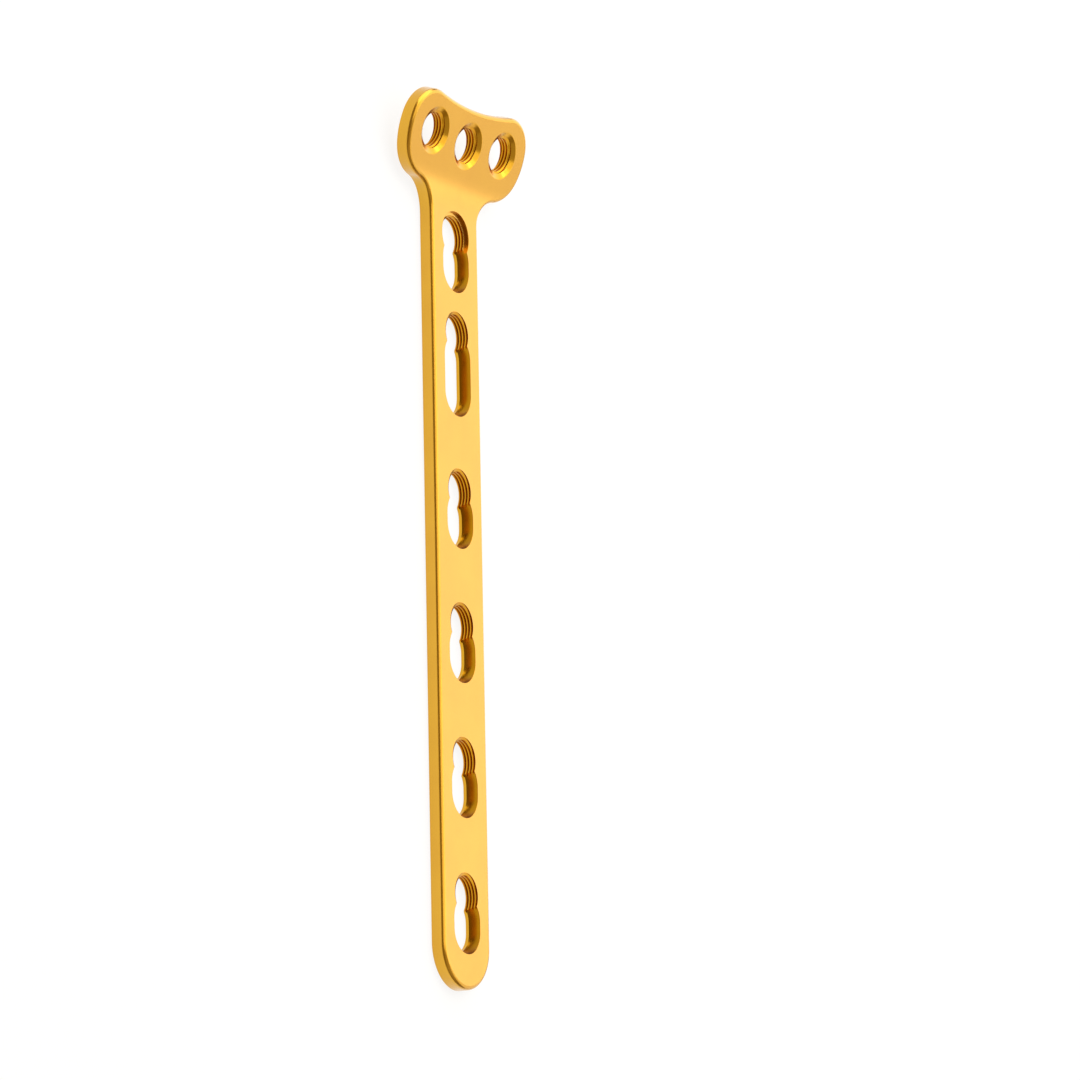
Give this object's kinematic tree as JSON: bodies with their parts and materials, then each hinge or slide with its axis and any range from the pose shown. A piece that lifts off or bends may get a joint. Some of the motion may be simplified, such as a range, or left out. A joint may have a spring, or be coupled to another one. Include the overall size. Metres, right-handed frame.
{
  "type": "orthopedic bone plate",
  "caption": "T-shaped orthopedic bone plate with a turned-up head, threaded locking holes and combination compression holes, in satin gold anodised titanium.",
  "frame": {"origin": "middle of the base, on the plane of the shaft's underside", "axes": "+X along the shaft towards its round tail, the head at -X; +Z out of the shaft's face; +Y across the plate"},
  "size_m": [0.1112, 0.027, 0.0055],
  "materials": {
    "gold_titanium": "satin gold anodised titanium alloy, blasted and tumbled, a shade browner in the cut threads"
  },
  "bodies": {
    "root": {"bone_plate": "gold_titanium"}
  },
  "joints": []
}
